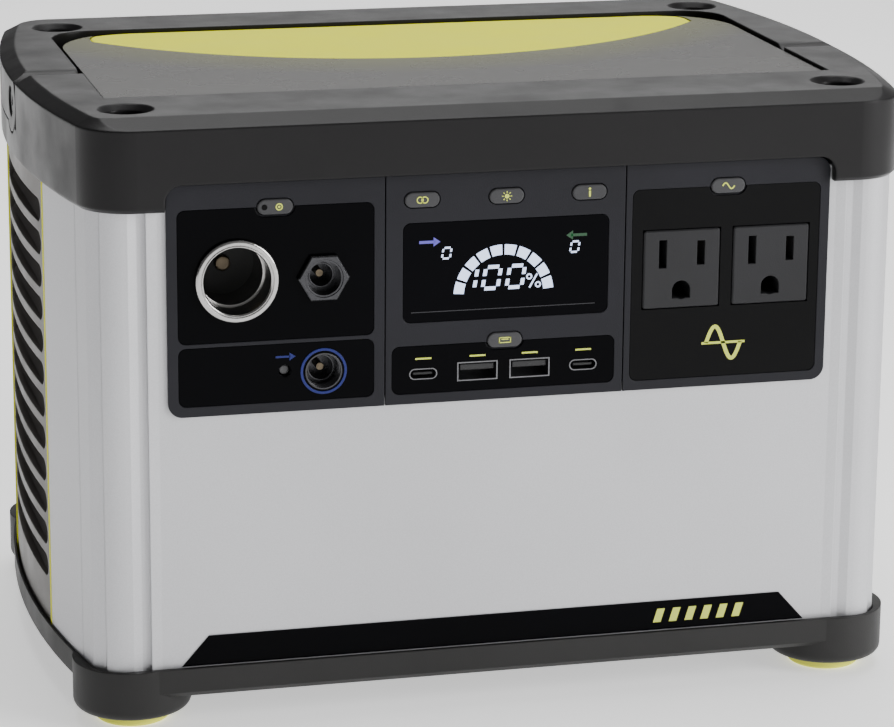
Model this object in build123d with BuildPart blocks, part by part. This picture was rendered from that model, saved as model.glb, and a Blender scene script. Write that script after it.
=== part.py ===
from build123d import *

import os
from math import cos, pi, radians, sin, sqrt

# Portable battery power station. Millimetres, +Z up, front faces -Y.
# The origin is the middle of the footprint, on the surface the feet stand on.

# Plan outlines: flat front and rear, gently bulged sides
BULGE_RADIUS = 400.0
LID_HALF_WIDTH = 142.6
LID_HALF_DEPTH = 98.8
LID_CORNER = 17.0
BODY_HALF_WIDTH = 140.8
BODY_HALF_DEPTH = 94.3
BODY_CORNER = 10.5
TRAY_HALF_WIDTH = 142.0
TRAY_HALF_DEPTH = 96.5
TRAY_CORNER = 17.0
POCKET_GAP_SIDE = 0.4
POCKET_GAP_FRONT = 0.7
SPAN = 400.0  # longer than the whole object, for cuts that run right through

# Heights
FOOT_HEIGHT = 4.0
TRAY_BOTTOM = 10.9
TRAY_FLOOR = 13.9
TRAY_TOP = 20.5
BODY_BOTTOM = 14.1
BODY_TOP = 173.8
LID_BOTTOM = 169.0
LEDGE_BOTTOM = 174.0
LEDGE_TOP = 179.5
DECK_BED = 193.4
TOP = 197.3

# Lid edges: a shallow bevel in front, a narrower one all round, a broken lower edge
LID_BEVEL_WIDTH = 5.0
LID_BEVEL_DROP = 2.6
LID_FRONT_BEVEL_Y = -89.0
LID_LOWER_BREAK = 1.2

# Feet, corner boots and the posts that the case screws enter
BOOT_X = 117.6
BOOT_Y = 78.4
BOOT_RADIUS = 19.0
FOOT_RADIUS = 12.0
SPIGOT_RADIUS = 5.0
SPIGOT_HEIGHT = 4.0
WELL_X = 116.3
WELL_Y = 75.7
WELL_RADIUS = 7.0
WELL_FLARE = 1.9
POST_RADIUS = 5.0
SCREW_RADIUS = 2.0
SCREW_LENGTH = 20.0
SCREW_HEAD_RADIUS = 4.3
SCREW_HEAD_HEIGHT = 3.0
SCREW_SEAT = 176.0

# Body walls, corner flutes, trims and vents
WALL = 2.5
FLUTE_LIP_X = 110.2
FLUTE_X = 113.7
FLUTE_FLOOR_X = 116.4
FLUTE_END_X = 119.6
FLUTE_LIP = 0.45
FLUTE_DEPTH = 1.0
STEP_X = 127.6
STEP_Y = 90.4
FACET_X = 131.3
FACET_Y = 87.0
SIDE_BEAD_Y = 78.3
TRIM_Y = 43.5
TRIM_WIDTH = 1.2
TRIM_PROUD = 0.15
SHELL_EDGE_Y = 44.15
VENT_EDGE_Y = 42.85
VENT_SINK = 0.4
SLOT_COUNT = 12
SLOT_PITCH = 10.86
SLOT_FIRST_Z = 38.45
SLOT_HEIGHT = 7.7
SLOT_LENGTH = 78.0
LOUVRE_OUTER_X = 138.0
LOUVRE_INNER_X = 130.0
LOUVRE_THICKNESS = 1.4
LOUVRE_RISE = 7.0

# Handle and its pivot
PIVOT_Y = -3.0
PIVOT_Z = 187.3
HANDLE_END_RADIUS = 10.0
HANDLE_BOTTOM = 180.0
HANDLE_CLEARANCE = 0.6
COVER_WALL_Y = -13.4
ARM_INNER_X = 121.0
BAR_INNER_Y = 66.8
HANDLE_INNER_CORNER = 14.0
PIN_RADIUS = 3.0
PIN_HOLE_RADIUS = 3.06
PIN_INNER_X = 110.0
PIN_HEAD_X = 139.7
PIN_HEAD_RADIUS = 4.5
PIN_HEAD_END_X = 142.0

# Deck insert and the lime grip insert cut into its rear
DECK_HALF_WIDTH = 119.4
DECK_FRONT_Y = -56.8
DECK_REAR_Y = 65.0
DECK_CORNER = 28.0
DECK_TOP = 196.4
GRIP_TOP = 196.2
GRIP_ARC_RADIUS = 137.1
GRIP_ARC_Y = 135.1
GRIP_HALF_WIDTH = 107.5
GRIP_CORNER = 10.0
INSERT_GAP = 0.3

# Control panel: depths, then outlines as left, right, bottom, top
PANEL_LEFT = -107.5
PANEL_RIGHT = 107.6
PANEL_BOTTOM = 103.0
PANEL_TOP = 176.7
PANEL_CORNER = 4.5
PANEL_FACE_Y = -95.5
FLANGE_BACK_Y = -94.35
CORE_BACK_Y = -89.5
CORE_INSET = 2.9
SEAM_LEFT = -38.6
SEAM_RIGHT = 39.4
SEAM_GAP = 0.4
NOTCH_GAP = 0.7
INLAY_FACE_Y = -95.4
INLAY_DEPTH = 0.8
INLAY_CORNER = 2.5
INLAYS = {
    "inlay_12v": (-104.3, -42.1, 126.3, 168.9),
    "inlay_input": (-104.3, -42.1, 106.2, 125.1),
    "inlay_usb": (-36.5, 36.5, 106.2, 121.9),
    "inlay_ac": (41.6, 104.5, 106.1, 168.7),
}
WINDOW = (-33.0, 34.0, 129.3, 161.5)
LCD_INSET = 2.2

# Buttons
BUTTONS = {
    "button_12v": (-73.5, 168.8),
    "button_pairing": (-26.9, 168.8),
    "button_light": (0.3, 168.8),
    "button_info": (27.3, 168.8),
    "button_usb": (0.2, 122.3),
    "button_ac": (73.2, 168.8),
}
BUTTON_WIDTH = 11.2
BUTTON_HEIGHT = 4.8
BUTTON_GAP = 0.3
BUTTON_FACE_Y = -96.0
BUTTON_BACK_Y = -88.0
BUTTON_FLANGE_Y = -89.2
BUTTON_FLANGE_EXTRA = 1.8

# Panel board and switches
BOARD_FACE_Y = -84.0
BOARD_THICKNESS = 1.6
SWITCH_SIZE = 6.0
SWITCH_FACE_Y = -87.1

# 12 V socket
SOCKET_X = -85.7
SOCKET_Z = 146.0
SOCKET_RING_RADIUS = 13.15
SOCKET_TUBE_RADIUS = 11.6
SOCKET_BORE_RADIUS = 10.5
SOCKET_DEEP_RADIUS = 10.1
SOCKET_FACE_Y = -97.3
SOCKET_STEP_Y = -86.0
SOCKET_BACK_Y = -71.0
SOCKET_GROOVE = (11.2, 11.55, 0.5)

# Round ports
PORT_STEP = 5.3
PORT_MOUTH_RADIUS = 5.4
PORT_COLLAR_WALL = 0.45
PORT_COLLAR_HEIGHT = 0.5
DC_PORT = (-58.4, 145.7)
DC_FACE_Y = -97.2
DC_NUT_CORNER_RADIUS = 8.25
DC_NUT_FACE_Y = -97.5
DC_BODY_RADIUS = 6.0
DC_BORE_RADIUS = 3.6
INPUT_PORT = (-58.3, 115.5)
INPUT_FACE_Y = -95.8
INPUT_RING_RADIUS = 7.4
INPUT_RING_INNER_RADIUS = 6.6
INPUT_BODY_RADIUS = 5.9
INPUT_BORE_RADIUS = 3.9
PORT_BACK_Y = -79.0
PORT_FLOOR_Y = -84.0
PORT_PIN_FACE_Y = -89.8
PORT_PIN_RADIUS = 1.2
LED = (-70.6, 116.2)
LED_RADIUS = 1.6
LED_HOLE_RADIUS = 2.0
LED_FACE_Y = -93.8

# USB ports
USB_Z = 112.6
USB_FACE_Y = -95.45
USB_BACK_Y = -84.1
USB_A_X = 8.55
USB_A_SIZE = (13.2, 6.2)
USB_A_WALL = 0.4
USB_C_X = 26.2
USB_C_SIZE = (9.1, 3.6)
USB_C_WALL = 0.35

# AC outlets: two-blade and ground receptacles
OUTLETS = {"outlet_left": 58.3, "outlet_right": 88.2}
OUTLET_Z = 142.4
OUTLET_WIDTH = 25.3
OUTLET_HEIGHT = 25.4
OUTLET_FACE_Y = -95.8
OUTLET_BACK_Y = -72.0
OUTLET_GAP = 0.35
BLADE_SPACING = 6.35
BLADE_Z = 147.4
BLADE_WIDTH = 2.6
BLADE_HEIGHTS = (9.2, 7.9)
BLADE_DEPTH = 16.0
GROUND_DROP = 11.9
GROUND_WIDTH = 6.1
GROUND_HEIGHT = 5.8

# Battery, electronics and fan
CELL_RADIUS = 10.6
CELL_LENGTH = 70.0
CELL_PITCH = 22.0
CELL_COLUMNS = 7
CELL_ROWS = 4
CELL_CENTRE = (-14.0, 12.0)
CELL_BOTTOM = 16.0
HOLDER_SIZE = (158.0, 92.0)
HOLDER_THICKNESS = 8.0
FAN_Z = 90.0
FAN_SIZE = 60.0
FAN_INNER_X = 112.0
FAN_DEPTH = 15.0
FAN_BORE_RADIUS = 28.5
FAN_HUB_RADIUS = 11.5
FAN_TIP_RADIUS = 27.6
FAN_BLADES = 7
FAN_SHAFT_RADIUS = 1.5
FAN_BEARING_RADIUS = 1.55


def side_width(half_width, y):
    """Half-width of a bulged outline at distance y from its middle."""
    return half_width - BULGE_RADIUS + sqrt(BULGE_RADIUS**2 - y**2)


def plan(half_width, half_depth, corner):
    """Plan outline with flat front and rear, bulged sides and rounded corners."""
    edge = side_width(half_width, half_depth)
    with BuildSketch() as shape:
        with BuildLine():
            Line((-edge, -half_depth), (edge, -half_depth))
            ThreePointArc((edge, -half_depth), (half_width, 0), (edge, half_depth))
            Line((edge, half_depth), (-edge, half_depth))
            ThreePointArc((-edge, half_depth), (-half_width, 0), (-edge, -half_depth))
        make_face()
        fillet(shape.vertices(), corner)
    return shape.sketch


def band(half_width, half_depth, corner, wall):
    """The plan outline as a wall of even thickness."""
    with BuildSketch() as shape:
        add(plan(half_width, half_depth, corner))
        add(plan(half_width - wall, half_depth - wall, corner - wall), mode=Mode.SUBTRACT)
    return shape.sketch


def pocket():
    """Plan of the recess in the tray or the lid that takes the body."""
    return plan(
        BODY_HALF_WIDTH + POCKET_GAP_SIDE,
        BODY_HALF_DEPTH + POCKET_GAP_FRONT,
        BODY_CORNER + POCKET_GAP_SIDE,
    )


def deck_plan(front_corner=4.0):
    """Outline shared by the deck insert and the island it lies on."""
    with BuildSketch() as shape:
        with Locations((0, (DECK_FRONT_Y + DECK_REAR_Y) / 2)):
            Rectangle(2 * DECK_HALF_WIDTH, DECK_REAR_Y - DECK_FRONT_Y)
        fillet(shape.vertices().group_by(Axis.Y)[-1], DECK_CORNER)
        fillet(shape.vertices().group_by(Axis.Y)[0], front_corner)
    return shape.sketch


def lid_block(bottom):
    """The lid's whole outer form from the given height up, with its bevels."""
    with BuildPart() as block:
        with BuildSketch(Plane.XY.offset(bottom)):
            add(plan(LID_HALF_WIDTH, LID_HALF_DEPTH, LID_CORNER))
        extrude(amount=TOP - bottom)
        crown = block.faces().sort_by(Axis.Z)[-1]
        chamfer(crown.edges(), LID_BEVEL_WIDTH, LID_BEVEL_DROP, reference=crown)
        chamfer(block.faces().sort_by(Axis.Z)[0].edges(), LID_LOWER_BREAK)
        slope = LID_BEVEL_DROP / (LID_HALF_DEPTH + LID_FRONT_BEVEL_Y)
        with BuildSketch(Plane.YZ.offset(-SPAN / 2)):
            Polygon(
                (LID_FRONT_BEVEL_Y, TOP + 1),
                (LID_FRONT_BEVEL_Y, TOP),
                (-LID_HALF_DEPTH - 1, TOP - LID_BEVEL_DROP - slope),
                (-LID_HALF_DEPTH - 1, TOP + 1),
                align=None,
            )
        extrude(amount=SPAN, mode=Mode.SUBTRACT)
    return block.part


def well_flares(*spots):
    """Cones that widen the screw wells at the lid's surface."""
    with BuildPart() as flares:
        with BuildSketch(Plane.XY.offset(TOP - WELL_FLARE)):
            with Locations(*spots):
                Circle(WELL_RADIUS)
        extrude(amount=WELL_FLARE + 0.2, taper=-45)
    return flares.part


def front(y):
    """Plane facing forwards at depth y; its own axes are the object's X and Z."""
    return Plane.XZ.offset(-y)


def middle(box):
    """Centre of a left, right, bottom, top outline."""
    left, right, bottom, top = box
    return ((left + right) / 2, (bottom + top) / 2)


def size(box, shrink=0.0):
    """Width and height of a left, right, bottom, top outline, less a gap all round."""
    left, right, bottom, top = box
    return (right - left - 2 * shrink, top - bottom - 2 * shrink)


def corners(x, y):
    """The four mirrored positions of one corner feature."""
    return [(-x, -y), (x, -y), (-x, y), (x, y)]


def save(builder, label):
    """Labels a finished piece and writes it to its own file."""
    builder.part.label = label
    export_step(builder.part, f"parts/{label}.step")


def make_base_tray():
    with BuildPart() as tray:
        with BuildSketch(Plane.XY.offset(TRAY_BOTTOM)):
            add(plan(TRAY_HALF_WIDTH, TRAY_HALF_DEPTH, TRAY_CORNER))
        extrude(amount=TRAY_TOP - TRAY_BOTTOM)
        chamfer(tray.faces().sort_by(Axis.Z)[0].edges(), 1.8)
        with BuildSketch(Plane.XY.offset(FOOT_HEIGHT)):
            with Locations(*corners(BOOT_X, BOOT_Y)):
                Circle(BOOT_RADIUS)
        extrude(amount=TRAY_TOP - FOOT_HEIGHT)
        fillet(tray.faces().group_by(Axis.Z)[0].edges(), 3.0)
        with BuildSketch(Plane.XY.offset(TRAY_FLOOR)):
            add(pocket())
        extrude(amount=TRAY_TOP - TRAY_FLOOR, mode=Mode.SUBTRACT)
        with BuildSketch(Plane.XY.offset(TRAY_FLOOR)):
            with Locations(*corners(WELL_X, WELL_Y)):
                Circle(POST_RADIUS)
        extrude(amount=LEDGE_BOTTOM - 0.1 - TRAY_FLOOR)
        with BuildSketch(Plane.XY.offset(SCREW_SEAT - SCREW_LENGTH)):
            with Locations(*corners(WELL_X, WELL_Y)):
                Circle(SCREW_RADIUS + 0.02)
        extrude(amount=SCREW_LENGTH, mode=Mode.SUBTRACT)
        with BuildSketch(Plane.XY.offset(FOOT_HEIGHT)):
            with Locations(*corners(BOOT_X, BOOT_Y)):
                Circle(SPIGOT_RADIUS + 0.05)
        extrude(amount=SPIGOT_HEIGHT + 0.1, mode=Mode.SUBTRACT)
    save(tray, "base_tray")


def make_foot(label, x, y):
    with BuildPart() as foot:
        with BuildSketch():
            with Locations((x, y)):
                Circle(FOOT_RADIUS)
        extrude(amount=FOOT_HEIGHT)
        fillet(foot.faces().sort_by(Axis.Z)[0].edges(), 1.2)
        with BuildSketch(Plane.XY.offset(FOOT_HEIGHT)):
            with Locations((x, y)):
                Circle(SPIGOT_RADIUS)
        extrude(amount=SPIGOT_HEIGHT)
    save(foot, label)


def flute_lip(end, side):
    """Lip that rises towards one corner of a shell; end and side give its signs."""
    base = BODY_HALF_DEPTH - FLUTE_DEPTH / 2
    crest = BODY_HALF_DEPTH + FLUTE_LIP
    points = [
        (FLUTE_LIP_X, base), (FLUTE_LIP_X, BODY_HALF_DEPTH), (FLUTE_X, crest), (FLUTE_X, base),
    ]
    with BuildSketch() as lip:
        Polygon(*[(end * x, side * y) for x, y in points], align=None)
    return lip.sketch


def flute_cuts(end, side):
    """Channel beside the lip, the step after the pilaster, and a fine line on the side."""
    beyond = BODY_HALF_DEPTH + 2
    channel = [
        (FLUTE_X, beyond), (FLUTE_X, BODY_HALF_DEPTH - FLUTE_DEPTH),
        (FLUTE_FLOOR_X, BODY_HALF_DEPTH - FLUTE_DEPTH), (FLUTE_END_X, BODY_HALF_DEPTH + 0.1),
        (FLUTE_END_X, beyond),
    ]
    step = [
        (STEP_X, beyond), (STEP_X, STEP_Y), (FACET_X, FACET_Y), (BODY_HALF_WIDTH, FACET_Y),
        (BODY_HALF_WIDTH, beyond),
    ]
    with BuildSketch() as cuts:
        for points in (channel, step):
            Polygon(*[(end * x, side * y) for x, y in points], align=None)
        bead_x = side_width(BODY_HALF_WIDTH, SIDE_BEAD_Y) + 0.2
        with Locations((end * bead_x, side * SIDE_BEAD_Y)):
            Circle(0.6)
    return cuts.sketch


def make_shell(label, side):
    """One aluminium shell; side is -1 for the front and 1 for the rear."""
    with BuildPart() as shell:
        with BuildSketch(Plane.XY.offset(BODY_BOTTOM)):
            add(band(BODY_HALF_WIDTH, BODY_HALF_DEPTH, BODY_CORNER, WALL))
            with Locations((0, side * (SHELL_EDGE_Y + SPAN / 2))):
                Rectangle(SPAN, SPAN, mode=Mode.INTERSECT)
            for end in (-1, 1):
                add(flute_lip(end, side))
                add(flute_cuts(end, side), mode=Mode.SUBTRACT)
        extrude(amount=BODY_TOP - BODY_BOTTOM)
        if side < 0:
            cut_bottom = PANEL_BOTTOM + CORE_INSET - 0.3
            with BuildSketch(front(-BODY_HALF_DEPTH - 5)):
                with Locations((0, (cut_bottom + SPAN) / 2)):
                    Rectangle(PANEL_RIGHT - PANEL_LEFT - 2 * CORE_INSET + 0.6, SPAN - cut_bottom)
            extrude(amount=-15, mode=Mode.SUBTRACT)
    save(shell, label)


def make_vent_panel(label, side):
    """Louvred side panel; side is -1 for the left and 1 for the right."""
    slots = [SLOT_FIRST_Z + k * SLOT_PITCH for k in range(SLOT_COUNT)]
    with BuildPart() as vent:
        with BuildSketch(Plane.XY.offset(BODY_BOTTOM)):
            add(band(BODY_HALF_WIDTH - VENT_SINK, BODY_HALF_DEPTH, BODY_CORNER, WALL))
            with Locations((side * SPAN / 2, 0)):
                Rectangle(SPAN, 2 * VENT_EDGE_Y, mode=Mode.INTERSECT)
        extrude(amount=BODY_TOP - BODY_BOTTOM)
        with BuildSketch(Plane.YZ.offset(side * 125)):
            with Locations(*[(0, z) for z in slots]):
                SlotOverall(SLOT_LENGTH, SLOT_HEIGHT)
        extrude(amount=side * 30, mode=Mode.SUBTRACT)
        with BuildSketch(Plane.XZ.offset(SLOT_LENGTH / 2)):
            for z in slots:
                low = z - SLOT_HEIGHT / 2 - LOUVRE_THICKNESS
                Polygon(
                    (side * LOUVRE_OUTER_X, low),
                    (side * LOUVRE_OUTER_X, low + LOUVRE_THICKNESS),
                    (side * LOUVRE_INNER_X, low + LOUVRE_RISE + LOUVRE_THICKNESS),
                    (side * LOUVRE_INNER_X, low + LOUVRE_RISE),
                    align=None,
                )
        extrude(amount=-SLOT_LENGTH)
    save(vent, label)


def make_trim(label, x_side, y_side):
    """Lime strip that fills the joint between a shell and a vent panel."""
    with BuildPart() as trim:
        with BuildSketch(Plane.XY.offset(BODY_BOTTOM)):
            add(band(BODY_HALF_WIDTH + TRIM_PROUD, BODY_HALF_DEPTH, BODY_CORNER, WALL))
            with Locations((x_side * SPAN / 2, y_side * TRIM_Y)):
                Rectangle(SPAN, TRIM_WIDTH, mode=Mode.INTERSECT)
        extrude(amount=BODY_TOP - BODY_BOTTOM)
    save(trim, label)


def make_top_cover():
    block = lid_block(LID_BOTTOM)
    with BuildPart() as cover:
        add(block)
        # open underside that drops over the body, and the hollow below the deck
        with BuildSketch(Plane.XY.offset(LID_BOTTOM)):
            add(pocket())
        extrude(amount=LEDGE_BOTTOM - LID_BOTTOM, mode=Mode.SUBTRACT)
        with BuildSketch(Plane.XY.offset(LID_BOTTOM)):
            with Locations((0, -15)):
                RectangleRounded(220, 144, 8)
        extrude(amount=189 - LID_BOTTOM, mode=Mode.SUBTRACT)
        # ledge under the handle, leaving the deck island standing
        with BuildSketch(Plane.XY.offset(LEDGE_TOP)):
            with Locations((0, COVER_WALL_Y + SPAN / 2)):
                Rectangle(SPAN, SPAN)
            add(deck_plan(), mode=Mode.SUBTRACT)
        extrude(amount=TOP, mode=Mode.SUBTRACT)
        # recess that the deck insert lies in
        with BuildSketch(Plane.XY.offset(DECK_BED)):
            with Locations((0, DECK_FRONT_Y - 0.2 + SPAN / 2)):
                Rectangle(2 * DECK_HALF_WIDTH + 1.6, SPAN)
        extrude(amount=TOP, mode=Mode.SUBTRACT)
        # clearance for the round handle ends
        for x in (-SPAN / 2, DECK_HALF_WIDTH):
            with BuildSketch(Plane.YZ.offset(x)):
                with Locations((PIVOT_Y, PIVOT_Z)):
                    Circle(HANDLE_END_RADIUS + HANDLE_CLEARANCE)
            extrude(amount=SPAN / 2 - DECK_HALF_WIDTH, mode=Mode.SUBTRACT)
        with BuildSketch(Plane.YZ.offset(-SPAN / 2)):
            with Locations((PIVOT_Y, PIVOT_Z)):
                Circle(PIN_RADIUS + 0.02)
        extrude(amount=SPAN, mode=Mode.SUBTRACT)
        # screw wells, seats and holes
        with BuildSketch(Plane.XY.offset(LEDGE_TOP)):
            with Locations(*corners(WELL_X, WELL_Y)):
                Circle(WELL_RADIUS)
        extrude(amount=TOP, mode=Mode.SUBTRACT)
        add(well_flares(*corners(WELL_X, WELL_Y)), mode=Mode.SUBTRACT)
        with BuildSketch(Plane.XY.offset(SCREW_SEAT)):
            with Locations(*corners(WELL_X, WELL_Y)):
                Circle(SCREW_HEAD_RADIUS + 0.3)
        extrude(amount=LEDGE_TOP - SCREW_SEAT, mode=Mode.SUBTRACT)
        with BuildSketch(Plane.XY.offset(LEDGE_BOTTOM)):
            with Locations(*corners(WELL_X, WELL_Y)):
                Circle(SCREW_RADIUS + 0.2)
        extrude(amount=SCREW_SEAT - LEDGE_BOTTOM, mode=Mode.SUBTRACT)
        # notch around the top of the control panel
        panel = (PANEL_LEFT, PANEL_RIGHT, PANEL_BOTTOM, PANEL_TOP)
        with BuildSketch(front(-LID_HALF_DEPTH - 1)):
            with Locations(middle(panel)):
                RectangleRounded(*size(panel, -NOTCH_GAP), PANEL_CORNER + NOTCH_GAP)
        extrude(amount=-13, mode=Mode.SUBTRACT)
    save(cover, "top_cover")


def make_handle():
    block = lid_block(LEDGE_BOTTOM)
    with BuildPart() as handle:
        add(block)
        with BuildSketch(Plane.YZ.offset(-SPAN / 2)):
            with Locations((PIVOT_Y + SPAN / 2, (HANDLE_BOTTOM + TOP) / 2)):
                Rectangle(SPAN, TOP - HANDLE_BOTTOM)
            with Locations((PIVOT_Y, PIVOT_Z)):
                Circle(HANDLE_END_RADIUS)
        extrude(amount=SPAN, mode=Mode.INTERSECT)
        with BuildSketch(Plane.XY.offset(LEDGE_BOTTOM)) as opening:
            with Locations((0, BAR_INNER_Y - SPAN / 2)):
                Rectangle(2 * ARM_INNER_X, SPAN)
            fillet(opening.vertices().group_by(Axis.Y)[-1], HANDLE_INNER_CORNER)
        extrude(amount=TOP, mode=Mode.SUBTRACT)
        with BuildSketch(Plane.XY.offset(LEDGE_BOTTOM)):
            with Locations((-WELL_X, WELL_Y), (WELL_X, WELL_Y)):
                Circle(WELL_RADIUS)
        extrude(amount=TOP, mode=Mode.SUBTRACT)
        add(well_flares((-WELL_X, WELL_Y), (WELL_X, WELL_Y)), mode=Mode.SUBTRACT)
        with BuildSketch(Plane.YZ.offset(-SPAN / 2)):
            with Locations((PIVOT_Y, PIVOT_Z)):
                Circle(PIN_HOLE_RADIUS)
        extrude(amount=SPAN, mode=Mode.SUBTRACT)
        for x in (-SPAN / 2, PIN_HEAD_X - 0.5):
            with BuildSketch(Plane.YZ.offset(x)):
                with Locations((PIVOT_Y, PIVOT_Z)):
                    Circle(PIN_HEAD_RADIUS + 0.5)
            extrude(amount=SPAN / 2 - PIN_HEAD_X + 0.5, mode=Mode.SUBTRACT)
    save(handle, "handle")


def make_pivot_hardware():
    with BuildPart() as pins:
        for side in (-1, 1):
            with BuildSketch(Plane.YZ.offset(side * PIN_INNER_X)):
                with Locations((PIVOT_Y, PIVOT_Z)):
                    Circle(PIN_RADIUS)
            extrude(amount=side * (PIN_HEAD_X - PIN_INNER_X))
            with BuildSketch(Plane.YZ.offset(side * PIN_HEAD_X)):
                with Locations((PIVOT_Y, PIVOT_Z)):
                    Circle(PIN_HEAD_RADIUS)
            extrude(amount=side * (PIN_HEAD_END_X - PIN_HEAD_X))
            with BuildSketch(Plane.YZ.offset(side * (PIN_HEAD_END_X - 1.3))):
                with Locations((PIVOT_Y, PIVOT_Z)):
                    RegularPolygon(1.9, 6)
            extrude(amount=side * 2, mode=Mode.SUBTRACT)
    save(pins, "pivot_pins")
    with BuildPart() as washers:
        for side in (-1, 1):
            with BuildSketch(Plane.YZ.offset(side * (DECK_HALF_WIDTH + 0.25))):
                with Locations((PIVOT_Y, PIVOT_Z)):
                    Circle(6.0)
                    Circle(PIN_RADIUS + 0.1, mode=Mode.SUBTRACT)
            extrude(amount=side * 1.1)
    save(washers, "pivot_washers")


def grip_plan(grow=0.0):
    """Crescent of the lime insert: the deck's rear cut by a wide arc, with rounded ends."""
    with BuildSketch() as crescent:
        add(deck_plan())
        with Locations((0, GRIP_ARC_Y)):
            Circle(GRIP_ARC_RADIUS + grow, mode=Mode.INTERSECT)
        half_width = GRIP_HALF_WIDTH + grow
        with Locations((0, DECK_REAR_Y - half_width)):
            RectangleRounded(
                2 * half_width, 2 * half_width, GRIP_CORNER + grow, mode=Mode.INTERSECT
            )
    return crescent.sketch


def make_deck():
    with BuildPart() as deck:
        with BuildSketch(Plane.XY.offset(DECK_BED + 0.05)):
            add(deck_plan())
            add(grip_plan(INSERT_GAP), mode=Mode.SUBTRACT)
        extrude(amount=DECK_TOP - DECK_BED - 0.05)
    save(deck, "deck_insert")
    with BuildPart() as grip:
        with BuildSketch(Plane.XY.offset(DECK_BED + 0.05)):
            add(grip_plan())
        extrude(amount=GRIP_TOP - DECK_BED - 0.05)
        chamfer(grip.faces().sort_by(Axis.Z)[-1].edges(), 0.4)
    save(grip, "grip_insert")


def make_case_screws():
    with BuildPart() as screws:
        with BuildSketch(Plane.XY.offset(SCREW_SEAT - SCREW_LENGTH)):
            with Locations(*corners(WELL_X, WELL_Y)):
                Circle(SCREW_RADIUS)
        extrude(amount=SCREW_LENGTH)
        with BuildSketch(Plane.XY.offset(SCREW_SEAT)):
            with Locations(*corners(WELL_X, WELL_Y)):
                Circle(SCREW_HEAD_RADIUS)
        extrude(amount=SCREW_HEAD_HEIGHT)
        with BuildSketch(Plane.XY.offset(SCREW_SEAT + SCREW_HEAD_HEIGHT - 1.6)):
            with Locations(*corners(WELL_X, WELL_Y)):
                RegularPolygon(2.0, 6)
        extrude(amount=2, mode=Mode.SUBTRACT)
    save(screws, "case_screws")


def make_nameplate():
    with BuildPart() as plate:
        with BuildSketch(front(-BODY_HALF_DEPTH)):
            Polygon((-104, 20.7), (104, 20.7), (95.3, 30.5), (-95.3, 30.5), align=None)
        extrude(amount=0.35)
    save(plate, "nameplate")


def bezel_face(left, right):
    """Flange outline of one panel module, rounded only at the panel's own corners."""
    with BuildSketch() as face:
        panel = (PANEL_LEFT, PANEL_RIGHT, PANEL_BOTTOM, PANEL_TOP)
        with Locations(middle(panel)):
            RectangleRounded(*size(panel), PANEL_CORNER)
        with Locations(((left + right) / 2, 0)):
            Rectangle(right - left, 2 * SPAN, mode=Mode.INTERSECT)
    return face.sketch


def bezel_block(left, right, core_left, core_right):
    """A panel module before its openings: a thin flange over a thicker core."""
    core = (core_left, core_right, PANEL_BOTTOM + CORE_INSET, PANEL_TOP - 0.3)
    with BuildPart() as block:
        with BuildSketch(front(PANEL_FACE_Y)):
            add(bezel_face(left, right))
        extrude(amount=-(FLANGE_BACK_Y - PANEL_FACE_Y))
        with BuildSketch(front(FLANGE_BACK_Y)):
            with Locations(middle(core)):
                Rectangle(*size(core))
        extrude(amount=-(CORE_BACK_Y - FLANGE_BACK_Y))
    return block.part


def cut_through(amount=-20):
    """Cuts the pending sketch from in front of the panel to behind it."""
    extrude(amount=amount, mode=Mode.SUBTRACT)


def button_slot(extra):
    """Button outline with a gap all round."""
    return SlotOverall(BUTTON_WIDTH + 2 * extra, BUTTON_HEIGHT + 2 * extra)


def make_bezel_12v():
    block = bezel_block(
        PANEL_LEFT, SEAM_LEFT - SEAM_GAP / 2, PANEL_LEFT + CORE_INSET, SEAM_LEFT - SEAM_GAP / 2
    )
    with BuildPart() as bezel:
        add(block)
        with BuildSketch(front(PANEL_FACE_Y)):
            for name in ("inlay_12v", "inlay_input"):
                with Locations(middle(INLAYS[name])):
                    RectangleRounded(*size(INLAYS[name]), INLAY_CORNER)
        extrude(amount=-INLAY_DEPTH, mode=Mode.SUBTRACT)
        with BuildSketch(front(PANEL_FACE_Y - 3)):
            with Locations((SOCKET_X, SOCKET_Z)):
                Circle(SOCKET_TUBE_RADIUS + 0.2)
            with Locations(DC_PORT):
                Circle(DC_BODY_RADIUS + 0.1)
            with Locations(INPUT_PORT):
                Circle(INPUT_BODY_RADIUS + 0.1)
            with Locations(LED):
                Circle(LED_HOLE_RADIUS)
            with Locations(BUTTONS["button_12v"]):
                button_slot(BUTTON_GAP)
        cut_through()
    save(bezel, "bezel_12v")


def make_bezel_display():
    left = SEAM_LEFT + SEAM_GAP / 2
    right = SEAM_RIGHT - SEAM_GAP / 2
    block = bezel_block(left, right, left, right)
    with BuildPart() as bezel:
        add(block)
        with BuildSketch(front(PANEL_FACE_Y)):
            with Locations(middle(INLAYS["inlay_usb"])):
                RectangleRounded(*size(INLAYS["inlay_usb"]), INLAY_CORNER)
            with Locations(middle(WINDOW)):
                RectangleRounded(*size(WINDOW), INLAY_CORNER)
        extrude(amount=-INLAY_DEPTH - 0.2, mode=Mode.SUBTRACT)
        with BuildSketch(front(PANEL_FACE_Y - 3)):
            with Locations(middle(WINDOW)):
                Rectangle(*size(WINDOW, LCD_INSET - 0.3))
            with Locations((-USB_A_X, USB_Z), (USB_A_X, USB_Z)):
                Rectangle(USB_A_SIZE[0] + 0.2, USB_A_SIZE[1] + 0.2)
            with Locations((-USB_C_X, USB_Z), (USB_C_X, USB_Z)):
                SlotOverall(USB_C_SIZE[0] + 0.2, USB_C_SIZE[1] + 0.2)
            for name in ("button_pairing", "button_light", "button_info", "button_usb"):
                with Locations(BUTTONS[name]):
                    button_slot(BUTTON_GAP)
        cut_through()
    save(bezel, "bezel_display")


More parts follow.
